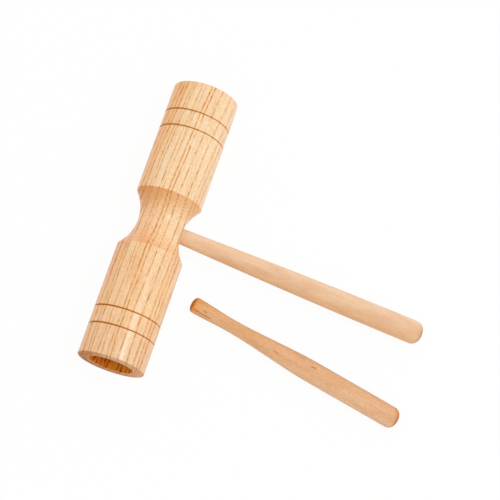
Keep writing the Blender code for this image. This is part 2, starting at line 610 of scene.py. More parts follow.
@dataclass(frozen=True)
class StainAndPaintedLight:
    """A tint where the surface has a trait, with what is left there of the ring lines.

    The trait counts as it is carried, or eased over a span. Some are the wood's own stains, and some
    are painted shade and painted light.
    """

    trait: Trait
    tint: Colour
    span: Span | None = None
    line_share: float = 1.0

    def mask(self, sketch: WoodSketch) -> Socket:
        """How far the trait shows at a point."""
        carried = sketch.trait(self.trait)
        return carried if self.span is None else sketch.between(carried, *self.span)

    def thin(self, sketch: WoodSketch, line: Socket) -> Socket:
        """A ring line, weakened as far as the trait shows."""
        left = sketch.between(self.mask(sketch), 0.0, 1.0, 1.0, self.line_share)
        return sketch.product(line, left)


@dataclass(frozen=True)
class GrowthRing:
    """One year of the ash: where its porous line starts, how strong that is, and how warm the rest."""

    start: float
    strength: float
    warmth: float


@dataclass(frozen=True)
class AshFinish:
    """Sanded ash under a thin satin coat: pale wood with porous brown ring lines.

    Growth rings are shells round a pith that lies well to the block's left, so that on its top they
    run as lines along the grain. Ring places are measured from the block's axis, away from the
    pith. Lengths are in millimetres, and the relief is in metres.
    """

    pale: Colour = (0.925, 0.735, 0.502)
    warm: Colour = (0.915, 0.647, 0.395)
    line: Colour = (0.80, 0.36, 0.09)
    pore: Colour = (0.52, 0.17, 0.028)
    tear: Colour = (0.40, 0.05, 0.0)
    scorch: Colour = (0.56, 0.183, 0.0)
    gloss: float = 0.15
    coat: float = 0.45
    relief: float = 0.00006
    open_roughness: float = 0.3
    pith_distance: float = 77.0
    slope: float = 0.033
    bow: float = 0.00025
    bow_middle: float = 0.95
    wanders: tuple[Wander, ...] = (
        Wander(across=14.0, along=60.0, reach=1.2),
        Wander(across=3.0, along=14.0, reach=0.5),
    )
    line_onset: float = 0.16
    line_onset_share: float = 0.25
    line_fade: Span = (0.3, 1.5)
    calm: Direction = (1, 0, 0.12)
    calm_span: Span = (13.0, 20.0)
    calm_line_share: float = 0.7
    pore_lines: Span = (0.15, 0.75)
    prick_lines: Span = (0.1, 0.5)
    prick_faces: Span = (0.0, 0.4)
    dashes: Pattern = Pattern(across=0.8, along=4.0, span=(0.36, 0.64), result=(0.4, 1.25))
    pores: Pattern = Pattern(across=0.3, along=3.4, span=(0.52, 0.64))
    pricks: Pattern = Pattern(across=0.5, along=2.4, span=(0.48, 0.58))
    streaks: Pattern = Pattern(
        across=0.48, along=26.0, span=(0.44, 0.68), result=(0.0, 0.45), detail=3.0
    )
    clouds: Pattern = Pattern(across=8.0, along=45.0, span=(0.3, 0.7), result=(0.2, 1.0), detail=3.0)
    tears: Pattern = Pattern(across=1.7, along=9.0, span=(0.49, 0.62), result=(0.0, 0.9), detail=3.0)
    specks: Pattern = Pattern(across=0.6, along=2.0, span=(0.3, 0.7), result=(0.91, 1.09), detail=1.0)
    fibre: Fibre = Fibre(
        across=0.42, along=22.0, detail=4.0, shades=(0.94, 1.05), roughness=(0.30, 0.42), height=0.4
    )
    blushes: tuple[Blush, ...] = (
        Blush(direction=(0, 0, -1), start=-60, end=45, tint=(0.97, 0.88, 0.79)),
        Blush(direction=(0, 0, 1), start=70, end=100, tint=(1.0, 0.94, 0.87)),
        Blush(direction=(0, 0, -1), start=66, end=88, tint=(0.955, 0.95, 0.99)),
        # Painted shade: the left flank, away from the lamp, darker and warmer.
        Blush(direction=(-1, 0, 0.035), start=14.3, end=24.3, tint=(0.965, 0.77, 0.54)),
        Blush(direction=(-1, 0, 0), start=5, end=19, tint=(0.72, 0.54, 0.32), trait=Trait.SAWN),
        # Painted shade: the end face darker towards its lower edge, where it meets the table.
        Blush(direction=(0, 1, 0), start=7, end=18, tint=(0.78, 0.66, 0.60), trait=Trait.SAWN),
        # Painted light: the end face lighter and cooler towards the lamp's side.
        Blush(direction=(1, 0, 0), start=12, end=20, tint=(1.02, 1.02, 1.10), trait=Trait.SAWN),
        # Painted light: the waist lighter and cooler towards the lamp's side.
        Blush(direction=(1, 0, 0), start=-14, end=14, tint=(1.028, 1.078, 1.10), trait=Trait.WAIST),
        # Painted shade: the waist darker and warmer on the side away from the lamp.
        Blush(direction=(-1, 0, 0), start=-14, end=14, tint=(1.0, 0.93, 0.88), trait=Trait.WAIST),
        # Painted shade: darker and warmer under the high drum's shoulder, on the side away from the
        # lamp.
        Blush(direction=(-1, 0, 1), start=12, end=30, tint=(0.92, 0.88, 0.72), trait=Trait.WAIST),
    )
    stains_and_painted_light: tuple[StainAndPaintedLight, ...] = (
        StainAndPaintedLight(Trait.END_GRAIN, tint=(0.96, 0.82, 0.66), span=(0.2, 0.8)),
        StainAndPaintedLight(Trait.SAWN, tint=(0.86, 0.875, 0.97), line_share=0.5),
        # Painted shade on the cove under the high drum, which faces the low end away from the light; it
        # also weakens the lines there.
        StainAndPaintedLight(Trait.SHADED_COVE, tint=(0.97, 0.855, 0.75), span=(0.1, 0.5), line_share=0.6),
        # Painted light on the cove above the low drum, which faces the high end: it washes out the
        # lines, with a slight warm tint.
        StainAndPaintedLight(Trait.LIT_COVE, tint=(0.985, 0.95, 0.92), span=(0.1, 0.45), line_share=0.6),
        # The chambers' deep orange is partly the drilled wood's own colour and partly painted shade.
        StainAndPaintedLight(Trait.BORED, tint=(1.06, 0.645, 0.082)),
    )
    rings: tuple[GrowthRing, ...] = (
        GrowthRing(start=-26.0, strength=0.80, warmth=0.80),
        GrowthRing(start=-23.5, strength=0.80, warmth=1.00),
        GrowthRing(start=-21.0, strength=1.00, warmth=0.70),
        GrowthRing(start=-17.5, strength=0.65, warmth=0.85),
        GrowthRing(start=-15.5, strength=0.75, warmth=0.70),
        GrowthRing(start=-10.5, strength=0.65, warmth=1.00),
        GrowthRing(start=-8.0, strength=0.50, warmth=1.00),
        GrowthRing(start=-4.0, strength=1.00, warmth=1.00),
        GrowthRing(start=-1.5, strength=0.95, warmth=0.65),
        GrowthRing(start=3.5, strength=0.80, warmth=0.50),
        GrowthRing(start=9.0, strength=0.85, warmth=0.50),
        GrowthRing(start=13.5, strength=0.75, warmth=0.90),
        GrowthRing(start=16.0, strength=0.80, warmth=0.70),
        GrowthRing(start=18.0, strength=0.75, warmth=0.65),
        GrowthRing(start=21.5, strength=0.75, warmth=0.60),
        GrowthRing(start=24.5, strength=0.80, warmth=0.60),
        GrowthRing(start=28.0, strength=0.70, warmth=0.60),
    )

    def material(self, name: str, placing: Matrix) -> Material:
        """Draw the wood for a piece.

        Args:
            name: The material's name.
            placing: From the piece's own frame to the object's.

        Returns:
            The material.
        """
        sketch = WoodSketch(name, placing)
        strength, past, ring_warmth = self.ring_place(sketch)
        line = self.ring_line(sketch, strength, past)
        pores = self.open_pores(sketch, line)
        fibre = self.fibre.draw(sketch)
        warmth = sketch.product(self.clouds.draw(sketch), ring_warmth)

        colour = sketch.mix(warmth, self.pale, self.warm)
        colour = sketch.mix(self.streaks.draw(sketch), colour, self.line)
        colour = sketch.mix(line, colour, self.line)
        colour = sketch.mix(pores, colour, self.pore)
        colour = sketch.shade(colour, sketch.between(fibre, *self.fibre.span, *self.fibre.shades))
        colour = sketch.shade(colour, self.specks.draw(sketch))
        for blush in self.blushes:
            colour = blush.over(sketch, colour)
        for tint_by_trait in self.stains_and_painted_light:
            colour = sketch.tint(tint_by_trait.mask(sketch), colour, tint_by_trait.tint)
        bored = sketch.trait(Trait.BORED)
        colour = sketch.mix(sketch.product(bored, self.tears.draw(sketch)), colour, self.tear)
        colour = sketch.mix(sketch.trait(Trait.SCORCH), colour, self.scorch)

        open_grain = sketch.total(sketch.trait(Trait.SAWN), bored)
        open_grain = sketch.math("ADD", pores, open_grain, clamp=True)
        roughness = sketch.between(fibre, *self.fibre.span, *self.fibre.roughness)
        roughness = sketch.total(roughness, sketch.product(open_grain, self.open_roughness))
        height = sketch.math("SUBTRACT", sketch.product(fibre, self.fibre.height), pores)
        coat = sketch.product(sketch.math("SUBTRACT", 1.0, open_grain), self.coat)
        return sketch.finish(colour, roughness, height, self.relief, self.gloss, coat)

    def ring_place(self, sketch: WoodSketch) -> tuple[Socket, Socket, Socket]:
        """Where a point lies among the growth rings.

        Its distance to the pith wanders, and the grain leans and bows along the block. The count is
        the sum, over the rings, of the clamped share of each ring that lies nearer to the pith. Its
        whole part picks the ring's strength, width and warmth from a chart, and its fraction times
        the width is the distance past the ring's start.

        Args:
            sketch: The wood's node tree.

        Returns:
            The ring's strength, the distance past its start and its warmth.
        """
        x, y, z = sketch.split(sketch.grain)
        squares = sketch.squares(sketch.total(x, self.pith_distance), y)
        place = sketch.math("SUBTRACT", sketch.math("SQRT", squares), self.pith_distance)
        lean = sketch.total(sketch.product(z, self.bow), self.slope)
        lean = sketch.total(sketch.product(lean, z), self.bow_middle)
        place = sketch.math("SUBTRACT", place, lean)
        for wander in self.wanders:
            place = sketch.total(place, wander.draw(sketch))

        years = list(zip(self.rings, self.rings[1:]))
        count: Feed = 0.0
        stops = []
        for index, (ring, after) in enumerate(years):
            share = sketch.between(place, ring.start, after.start, way=Way.STRAIGHT)
            count = sketch.total(count, share)
            width = (after.start - ring.start) / self.pith_distance
            stops.append((index / len(years), (ring.strength, width, ring.warmth)))
        number = sketch.math("FLOOR", count)
        middle = sketch.math("DIVIDE", sketch.total(number, 0.5), len(years))
        strength, width, warmth = sketch.split(sketch.chart(middle, stops, Way.STEPPED))
        width = sketch.product(width, self.pith_distance)
        return strength, sketch.product(sketch.math("FRACT", count), width), warmth

    def ring_line(self, sketch: WoodSketch, strength: Socket, past: Socket) -> Socket:
        """Share of the porous line at a point.

        It begins sharply at the ring's start and fades, broken up into dashes. The stains, the painted
        shade and light on the coves, and the calm side weaken it.

        Args:
            sketch: The wood's node tree.
            strength: The ring's strength.
            past: Distance past the ring's start.

        Returns:
            The share, from 0 to 1.
        """
        fade = sketch.between(past, *self.line_fade, 1.0, 0.0)
        onset = sketch.between(past, 0.0, self.line_onset, self.line_onset_share, 1.0)
        line = sketch.product(fade, onset, strength)
        for tint_by_trait in self.stains_and_painted_light:
            line = tint_by_trait.thin(sketch, line)
        calm = sketch.reach(self.calm)
        calm = sketch.between(calm, *self.calm_span, 1.0, self.calm_line_share)
        line = sketch.product(line, calm)
        return sketch.math("MULTIPLY", line, self.dashes.draw(sketch), clamp=True)

    def open_pores(self, sketch: WoodSketch, line: Socket) -> Socket:
        """Share of open pores at a point: strokes in the lines, and pricks where those are cut across.

        Args:
            sketch: The wood's node tree.
            line: Share of the porous line.

        Returns:
            The share, from 0 to 1.
        """
        strokes = sketch.product(self.pores.draw(sketch), sketch.between(line, *self.pore_lines))
        pricks = sketch.product(
            self.pricks.draw(sketch),
            sketch.between(line, *self.prick_lines),
            sketch.between(sketch.trait(Trait.END_GRAIN), *self.prick_faces),
        )
        return sketch.math("MAXIMUM", strokes, pricks)


@dataclass(frozen=True)
class Mark:
    """A natural streak in a stick: a thin spindle along the grain, in millimetres and degrees.

    Its core is the share of its squared reach over which it has its full strength.
    """

    along: float
    turn: float
    length: float
    width: float
    strength: float
    core: float = 0.5

    def mask(self, sketch: WoodSketch) -> Socket:
        """Share of the streak's colour at a point.

        The squared reach is the sum of the squares of the distances along and across, each over its
        half size. The streak ends where that is 1, and shows only on its own side of the stick.

        Args:
            sketch: The wood's node tree.

        Returns:
            The share, from 0 to the mark's strength.
        """
        turn = math.radians(self.turn)
        cosine, sine = math.cos(turn), math.sin(turn)
        across = sketch.math("DIVIDE", sketch.reach((-sine, cosine, 0)), self.width / 2)
        along = sketch.math("SUBTRACT", sketch.reach((0, 0, 1)), self.along)
        along = sketch.math("DIVIDE", along, self.length / 2)
        shape = sketch.between(sketch.squares(across, along), self.core, 1.0, self.strength, 0.0)
        facing = sketch.math("GREATER_THAN", sketch.reach((cosine, sine, 0)), 0.0)
        return sketch.product(shape, facing)


@dataclass(frozen=True)
class BeechFinish:
    """Sanded beech: even pinkish wood with faint rings and short fine flecks.

    Lengths are in millimetres, the pith's turn is in degrees, and the relief is in metres.
    """

    base: Colour = (0.813, 0.538, 0.339)
    deep: Colour = (0.768, 0.467, 0.276)
    fleck: Colour = (0.50, 0.24, 0.10)
    streak: Colour = (0.39, 0.075, 0.0)
    end_colour: Colour = (0.52, 0.24, 0.08)
    end_start: float = 0.1
    end_share: float = 0.85
    gloss: float = 0.2
    relief: float = 0.00003
    pith_turn: float = 30.0
    pith_distance: float = 46.0
    pith_tilt: float = 0.05
    wander: Wander = Wander(across=9.0, along=30.0, reach=0.8, middle=0.0)
    ring_spacing: float = 2.1
    ring_share: float = 0.10
    ring_shading: tuple[Span, ...] = ((0.0, 0.0), (0.45, 0.12), (0.9, 1.0), (1.0, 0.0))
    fleck_cell: Span = (0.62, 2.6)
    fleck_fade: Span = (0.10, 0.30)
    fleck_draw: Span = (0.3, 1.0)
    fleck_share: float = 0.16
    mottle: Pattern = Pattern(across=6.0, along=26.0, span=(0.35, 0.65), result=(-0.2, 0.9), detail=4.0)
    specks: Pattern = Pattern(across=0.7, along=2.4, span=(0.3, 0.7), result=(0.965, 1.035), detail=1.0)
    fibre: Fibre = Fibre(
        across=0.2, along=8.0, detail=3.0, shades=(0.95, 1.05), roughness=(0.40, 0.52), height=0.6
    )
    marks: tuple[Mark, ...] = ()
    blushes: tuple[Blush, ...] = ()

    def material(self, name: str, placing: Matrix) -> Material:
        """Draw the wood for a piece.

        Each ring darkens gently up to its edge. Flecks are scattered spindles of unlike strength.

        Args:
            name: The material's name.
            placing: From the piece's own frame to the object's.

        Returns:
            The material.
        """
        sketch = WoodSketch(name, placing)
        shading = [(place, (level,) * 3) for place, level in self.ring_shading]
        part = sketch.math("FRACT", self.ring_count(sketch))
        rings = sketch.chart(part, shading, Way.STRAIGHT)
        fibre = self.fibre.draw(sketch)
        distance, draw = sketch.spindles(*self.fleck_cell)
        flecks = sketch.between(distance, *self.fleck_fade, 1.0, 0.0)
        flecks = sketch.product(flecks, sketch.between(draw, *self.fleck_draw))

        colour = sketch.mix(self.mottle.draw(sketch), self.base, self.deep)
        colour = sketch.mix(sketch.product(rings, self.ring_share), colour, self.fleck)
        colour = sketch.mix(sketch.product(flecks, self.fleck_share), colour, self.fleck)
        colour = sketch.shade(colour, sketch.between(fibre, *self.fibre.span, *self.fibre.shades))
        colour = sketch.shade(colour, self.specks.draw(sketch))
        for blush in self.blushes:
            colour = blush.over(sketch, colour)
        end_grain = sketch.trait(Trait.END_GRAIN)
        end_grain = sketch.between(end_grain, self.end_start, 1.0, 0.0, self.end_share)
        colour = sketch.mix(end_grain, colour, self.end_colour)
        for mark in self.marks:
            colour = sketch.mix(mark.mask(sketch), colour, self.streak)

        roughness = sketch.between(fibre, *self.fibre.span, *self.fibre.roughness)
        height = sketch.math("SUBTRACT", sketch.product(fibre, self.fibre.height), flecks)
        return sketch.finish(colour, roughness, height, self.relief, self.gloss)

    def ring_count(self, sketch: WoodSketch) -> Socket:
        """Which ring a point lies in, as a whole number and a share of the next.

        It is the distance to a tilted pith line, with a slow wander, over the ring spacing.

        Args:
            sketch: The wood's node tree.

        Returns:
            The count.
        """
        turn = math.radians(self.pith_turn)
        cosine, sine = math.cos(turn), math.sin(turn)
        first = sketch.reach((1, 0, self.pith_tilt * cosine))
        first = sketch.total(first, self.pith_distance * cosine)
        second = sketch.reach((0, 1, self.pith_tilt * sine))
        second = sketch.total(second, self.pith_distance * sine)
        distance = sketch.math("SQRT", sketch.squares(first, second))
        distance = sketch.total(distance, self.wander.draw(sketch))
        return sketch.math("DIVIDE", distance, self.ring_spacing)


@dataclass
class TurnedBlock:
    """The ash block: two drums on a coved waist, burnt rings, and a blind chamber in each end.

    Its length, its drums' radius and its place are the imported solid's. Its own frame has the
    turning axis on Z, which runs along the object's Y. The scorch's start and end are shares of a
    ring's width, and its lean is a loss a metre.
    """

    role: ClassVar[Role] = Role("turned_block", "ash", Body.INSTRUMENT, Solid.BLOCK, Slot.BLOCK)

    rim_round: float = 0.0010
    waist_diameter: float = 0.031
    waist_width: float = 0.0403
    shoulder_round: float = 0.0015
    chamber_diameter: float = 0.0302
    low_chamber_depth: float = 0.074
    high_chamber_depth: float = 0.058
    mouth_round: float = 0.0006
    floor_round: float = 0.003
    rings_per_drum: int = 2
    ring_from_end: float = 0.0212
    ring_spacing: float = 0.01225
    ring_width: float = 0.0010
    ring_depth: float = 0.0006
    scorch_start: float = 0.25
    scorch_end: float = 0.75
    low_scorch: float = 0.82
    high_scorch: float = 0.66
    least_scorch: float = 0.5
    scorch_lean: float = 16.5
    scorch_spread: float = 0.4
    arris_wear: float = 0.3
    socket_depth: float = 0.020
    columns: int = 240
    cove_steps: int = 26
    round_steps: int = 8
    ring_steps: int = 24
    side_steps: int = 18
    end_side_steps: int = 14
    face_steps: int = 10
    mouth_steps: int = 6
    bore_steps: int = 28
    floor_steps: int = 8
    finish: AshFinish = AshFinish()

    def __post_init__(self) -> None:
        """Take the length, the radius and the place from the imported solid."""
        low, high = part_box(Solid.BLOCK.value)
        self.centre = (low + high) / 2
        self.half_length = (high.y - low.y) / 2
        self.drum_radius = (high.z - low.z) / 2
        self.waist_radius = self.waist_diameter / 2
        self.bore_radius = self.chamber_diameter / 2
        self.placing = placed(self.centre, (-QUARTER_TURN, 0, 0))

    @property
    def socket_floor(self) -> float:
        """Place of the socket's floor along the handle, from the block's axis."""
        return self.waist_radius - self.socket_depth

    def waist_section(self) -> np.ndarray:
        """Half of the waist, from its middle to the drum's side.

        The cove is an arc through the waist's radius in the middle and the drum's radius at half
        the waist's width, and the shoulder is an arc that touches the cove and the drum's side.

        Returns:
            Rows of radius and distance from the middle.
        """
        depth = self.drum_radius - self.waist_radius
        cove = ((self.waist_width / 2) ** 2 + depth**2) / (2 * depth)
        cove_centre = self.waist_radius + cove
        inset = self.drum_radius - self.shoulder_round
        rise = math.sqrt((cove + self.shoulder_round) ** 2 - (cove_centre - inset) ** 2)
        meeting = math.atan2(rise, inset - cove_centre)
        return join_runs(
            [
                arc((cove_centre, 0), cove, math.pi, meeting, self.cove_steps),
                arc((inset, rise), self.shoulder_round, meeting - math.pi, 0, self.round_steps),
            ]
        )

    def drum_section(self, chamber_depth: float) -> np.ndarray:
        """Half of the block's section, from the waist's middle round to a chamber's floor.

        Args:
            chamber_depth: Depth of this end's chamber.

        Returns:
            Rows of radius and distance from the block's middle.
        """
        end = self.half_length
        floor = end - chamber_depth
        runs = [self.waist_section()]
        for index in reversed(range(self.rings_per_drum)):
            place = end - self.ring_from_end - index * self.ring_spacing
            cut = groove(self.drum_radius, place, self.ring_width, self.ring_depth, self.ring_steps)
            side = straight((self.drum_radius, runs[-1][-1, 1]), tuple(cut[0]), self.side_steps)
            runs += [side, cut]
        rim = (self.drum_radius - self.rim_round, end - self.rim_round)
        mouth = (self.bore_radius + self.mouth_round, end - self.mouth_round)
        corner = (self.bore_radius - self.floor_round, floor + self.floor_round)
        last_side = (self.drum_radius, runs[-1][-1, 1])
        runs += [
            straight(last_side, (self.drum_radius, rim[1]), self.end_side_steps),
            arc(rim, self.rim_round, 0, QUARTER_TURN, self.round_steps),
            straight((rim[0], end), (mouth[0], end), self.face_steps),
            arc(mouth, self.mouth_round, QUARTER_TURN, math.pi, self.mouth_steps),
            straight((self.bore_radius, mouth[1]), (self.bore_radius, corner[1]), self.bore_steps),
            arc(corner, self.floor_round, 0, -QUARTER_TURN, self.round_steps),
            straight((corner[0], floor), (0, floor), self.floor_steps),
        ]
        return join_runs(runs)

    def section(self) -> np.ndarray:
        """The whole half section, from the low chamber's floor to the high chamber's."""
        low = self.drum_section(self.low_chamber_depth)[::-1] * (1, -1)
        return join_runs([low, self.drum_section(self.high_chamber_depth)])

    def dress(self, mesh: Mesh) -> None:
        """Give the mesh its wood and the values that the wood reads.

        End grain is how squarely the surface cuts the grain. Scorch fades from the middle of each
        ring to a little past its lips. It is weaker on the high drum and, by the lean a metre,
        towards the handle's side, and it spreads on the side away from the handle. Bored is 1 in
        the chambers, and sawn is 1 on the flat ends, less the square of the way to either arris.
        Waist is 1 on the cove. Shaded cove is how far the cove faces the low end, away from the light,
        where shade is painted;
        lit cove is how far it faces the high end, where painted light weakens the lines.

        Args:
            mesh: The cut block's mesh.
        """
        points, normals = own_coordinates(mesh, self.placing)
        radius = np.hypot(points[:, 0], points[:, 1])
        along = np.abs(points[:, 2])
        carry(mesh, Trait.END_GRAIN, np.abs(normals[:, 2]))
        inward = self.ring_spacing * np.arange(self.rings_per_drum)
        places = self.half_length - self.ring_from_end - inward
        spread = 1 + self.scorch_spread * np.clip(-points[:, 0] / self.drum_radius, 0, 1)
        from_ring = np.abs(along[:, None] - places).min(axis=1) / (self.ring_width * spread)
        fade = (self.scorch_end - from_ring) / (self.scorch_end - self.scorch_start)
        burn = np.where(points[:, 2] > 0, self.high_scorch, self.low_scorch)
        burn = np.clip(burn - self.scorch_lean * points[:, 0], self.least_scorch, 1)
        outside = radius > self.drum_radius - 2 * self.ring_depth
        carry(mesh, Trait.SCORCH, ease(np.clip(fade, 0, 1)) * burn * outside)
        waist = along < self.waist_width / 2
        carry(mesh, Trait.WAIST, waist)
        # Painted shade on the cove that faces the low end, and painted light on the cove that faces the
        # high end.
        carry(mesh, Trait.SHADED_COVE, np.clip(-normals[:, 2], 0, 1) * waist)
        carry(mesh, Trait.LIT_COVE, np.clip(normals[:, 2], 0, 1) * waist)
        inside = radius < self.bore_radius + self.mouth_round / 2
        carry(mesh, Trait.BORED, inside & ~waist)
        face = (along > self.half_length - self.rim_round / 2) & ~inside
        middle = (self.drum_radius + self.bore_radius) / 2
        from_middle = (radius - middle) / (self.drum_radius - middle)
        carry(mesh, Trait.SAWN, face * (1 - self.arris_wear * from_middle**2))
        mesh.materials.append(self.finish.material(self.role.wood, self.placing))

    def build(self, socket: Piece) -> Piece:
        """Turn the block, cut the handle's socket and dress it.

        Args:
            socket: The solid to cut away.

        Returns:
            The piece.
        """
        turned = turned_mesh("block_blank", self.section(), self.columns, self.placing)
        blank = show("block_blank", turned)
        cut = blank.modifiers.new("socket", "BOOLEAN")
        cut.operation = "DIFFERENCE"
        cut.solver = "EXACT"
        cut.object = socket
        graph = bpy.context.evaluated_depsgraph_get()
        mesh = bpy.data.meshes.new_from_object(blank.evaluated_get(graph))
        mesh.name = self.role.piece
        for helper in (blank, socket):
            bpy.data.objects.remove(helper, do_unlink=True)
        self.dress(mesh)
        return self.role.fill(mesh)


@dataclass
class Stick:
    """A turned beech stick. Its own frame has the stick's axis on Z."""

    role: ClassVar[Role]

    block: TurnedBlock
    columns: int = 144
    dome_steps: int = 24
    finish: BeechFinish = BeechFinish()
    placing: Matrix = field(init=False)

    def section(self) -> np.ndarray:
        """Half section along the stick, which each kind of stick works out for itself."""
        raise NotImplementedError

    def build(self) -> Piece:
        """Turn the stick and dress it.

        Returns:
            The piece.
        """
        mesh = turned_mesh(self.role.piece, self.section(), self.columns, self.placing)
        _, normals = own_coordinates(mesh, self.placing)
        carry(mesh, Trait.END_GRAIN, np.abs(normals[:, 2]))
        mesh.materials.append(self.finish.material(self.role.wood, self.placing))
        return self.role.fill(mesh)


@dataclass
class HandleStick(Stick):
    """The beech handle: a stick that swells from its root in the waist to a domed end.

    Zero along it is on the block's axis. It droops until the start of its dome rests on the table.
    """

    role: ClassVar[Role] = Role(
        "handle_stick", "handle_beech", Body.INSTRUMENT, Solid.HANDLE, Slot.HANDLE
    )

    length: float = 0.2039
    root_diameter: float = 0.0107
    end_diameter: float = 0.0167
    swell_power: float = 1.75
    dome_depth: float = 0.0069
    root_chamfer: float = 0.0005
    root_gap: float = 0.0003
    glue_gap: float = 0.00012
    table_gap: float = 0.00001
    root_face_steps: int = 4
    chamfer_steps: int = 2
    root_steps: int = 10
    taper_steps: int = 120
    finish: BeechFinish = BeechFinish(
        blushes=(
            # Painted light: the side facing the high end lighter and cooler, towards the light.
            Blush(direction=(0, 1, 0), start=-1, end=7, tint=(1.03, 1.12, 1.24)),
            # Painted shade: the side facing the low end warmer, away from the light.
            Blush(direction=(0, -1, 0), start=2, end=8, tint=(1.07, 1.01, 0.90)),
            Blush(direction=(0, 0, -1), start=-70, end=-20, tint=(1.04, 1.07, 1.08)),
            # Painted shade: darker at the root, where the handle meets the block.
            Blush(direction=(0, 0, -1), start=-21, end=-15, tint=(0.96, 0.90, 0.82)),
        ),
    )

    def __post_init__(self) -> None:
        """Work out the stick's radii, its places along its axis and its droop."""
        self.root_radius = self.root_diameter / 2
        self.end_radius = self.end_diameter / 2
        self.root = self.block.socket_floor + self.root_gap
        self.tip = self.root + self.length
        self.dome_start = self.tip - self.dome_depth
        fall = self.block.drum_radius - self.end_radius - self.table_gap
        droop = math.asin(fall / self.dome_start)
        self.placing = placed(self.block.centre, (0, QUARTER_TURN + droop, 0))

    def section(self) -> np.ndarray:
        """Half section from the root to the tip.

        Past the waist the radius grows from the root's to the end's by 1 less the swell power of
        the share of the taper that is left.

        Returns:
            Rows of radius and place along the axis.
        """
        left = np.linspace(1, 0, self.taper_steps + 1)
        inner = (self.root_radius - self.root_chamfer, self.root)
        shoulder = (self.root_radius, self.root + self.root_chamfer)
        start = (self.root_radius, self.block.waist_radius)
        return join_runs(
            [
                straight((0, self.root), inner, self.root_face_steps),
                straight(inner, shoulder, self.chamfer_steps),
                straight(shoulder, start, self.root_steps),
                swelling(start, (self.end_radius, self.dome_start), 1 - left**self.swell_power),
                dome(self.end_radius, self.dome_depth, self.dome_start, self.dome_steps),
            ]
        )

    def socket(self) -> Piece:
        """The drill for the root's blind socket, wider than the root by the glue's gap.

        Returns:
            The drill.
        """
        radius = self.root_radius + self.glue_gap
        floor, top = self.block.socket_floor, self.block.drum_radius
        section = np.array([(0, floor), (radius, floor), (radius, top), (0, top)])
        return show("socket_drill", turned_mesh("socket_drill", section, self.columns, self.placing))


@dataclass
class BeaterStick(Stick):
    """The loose beech beater: a swollen slim tip, a neck, a long shoulder and a thick domed end.

    Zero along it is at the slim tip. It lies level on the table on its thick part.
    """

    role: ClassVar[Role] = Role("beater_stick", "beater_beech", Body.BEATER, Solid.BEATER, Slot.BEATER)

    length: float = 0.1634
    thick_diameter: float = 0.0153
    thick_start: float = 0.097
    thick_dome_depth: float = 0.0063
    neck_diameter: float = 0.0094
    neck_place: float = 0.031
    tip_diameter: float = 0.0111
    tip_dome_depth: float = 0.0033
    tip_from_drum: float = 0.0164
    tip_from_handle_axis: float = 0.0372
    heading: float = math.radians(-9.25)
    tip_steps: int = 20
    slim_steps: int = 30
    shoulder_steps: int = 60
    thick_steps: int = 40
    finish: BeechFinish = BeechFinish(
        base=(0.768, 0.443, 0.244),
        deep=(0.719, 0.384, 0.189),
        end_colour=(0.50, 0.135, 0.0),
        end_start=0.35,
        end_share=1.0,
        specks=Pattern(across=0.7, along=2.4, span=(0.3, 0.7), result=(0.93, 1.07), detail=1.0),
        pith_turn=46.0,
        pith_distance=33.0,
        pith_tilt=0.03,
        ring_spacing=1.9,
        ring_share=0.12,
        marks=(
            Mark(along=5.3, turn=226, length=6.4, width=0.72, strength=0.85),
            Mark(along=12.0, turn=229.5, length=10.4, width=0.72, strength=0.85),
            Mark(along=10.5, turn=251, length=15.5, width=0.6, strength=0.25),
            Mark(along=10.6, turn=202, length=3.4, width=1.1, strength=0.65),
            Mark(along=65.8, turn=200, length=5.5, width=0.9, strength=0.45),
            Mark(along=93.7, turn=171, length=5.5, width=0.9, strength=0.75),
        ),
        blushes=(
            # Painted light: the side away from the handle lighter and cooler.
            Blush(direction=(0, -1, 0), start=-2, end=7.5, tint=(1.09, 1.17, 1.28)),
            Blush(direction=(0, 0, -1), start=-110, end=-30, tint=(0.985, 0.95, 0.88)),
            Blush(direction=(0, 0, -1), start=-22, end=-5, tint=(1.0, 0.945, 0.84)),
            Blush(direction=(0, 0, -1), start=-5.0, end=-2.0, tint=(1.06, 0.85, 0.42)),
            Blush(direction=(0, -1, -0.4), start=-0.5, end=3.5, tint=(1.07, 0.92, 0.77)),
            Blush(direction=(0, 0.5, 1), start=157.2, end=162.4, tint=(0.90, 0.66, 0.46)),
            # Painted shade: darker along the edge that faces the handle.
            Blush(direction=(0, 1, 0), start=2.5, end=6, tint=(0.91, 0.90, 0.88)),
        ),
    )

    def __post_init__(self) -> None:
        """Work out where the beater lies."""
        self.thick_radius = self.thick_diameter / 2
        reach = self.block.drum_radius + self.tip_from_drum
        tip = Vector((self.block.centre.x + reach, -self.tip_from_handle_axis, self.thick_radius))
        self.placing = placed(tip, (0, QUARTER_TURN, self.heading))

    def section(self) -> np.ndarray:
        """Half section from the slim tip to the thick end, with eased changes of radius.

        Returns:
            Rows of radius and place along the axis.
        """
        tip = (self.tip_diameter / 2, self.tip_dome_depth)
        neck = (self.neck_diameter / 2, self.neck_place)
        thick = (self.thick_radius, self.thick_start)
        dome_start = self.length - self.thick_dome_depth
        return join_runs(
            [
                dome(tip[0], -self.tip_dome_depth, self.tip_dome_depth, self.tip_steps)[::-1],
                swelling(tip, neck, ease(np.linspace(0, 1, self.slim_steps + 1))),
                swelling(neck, thick, ease(np.linspace(0, 1, self.shoulder_steps + 1))),
                straight(thick, (self.thick_radius, dome_start), self.thick_steps),
                dome(self.thick_radius, self.thick_dome_depth, dome_start, self.dome_steps),
            ]
        )


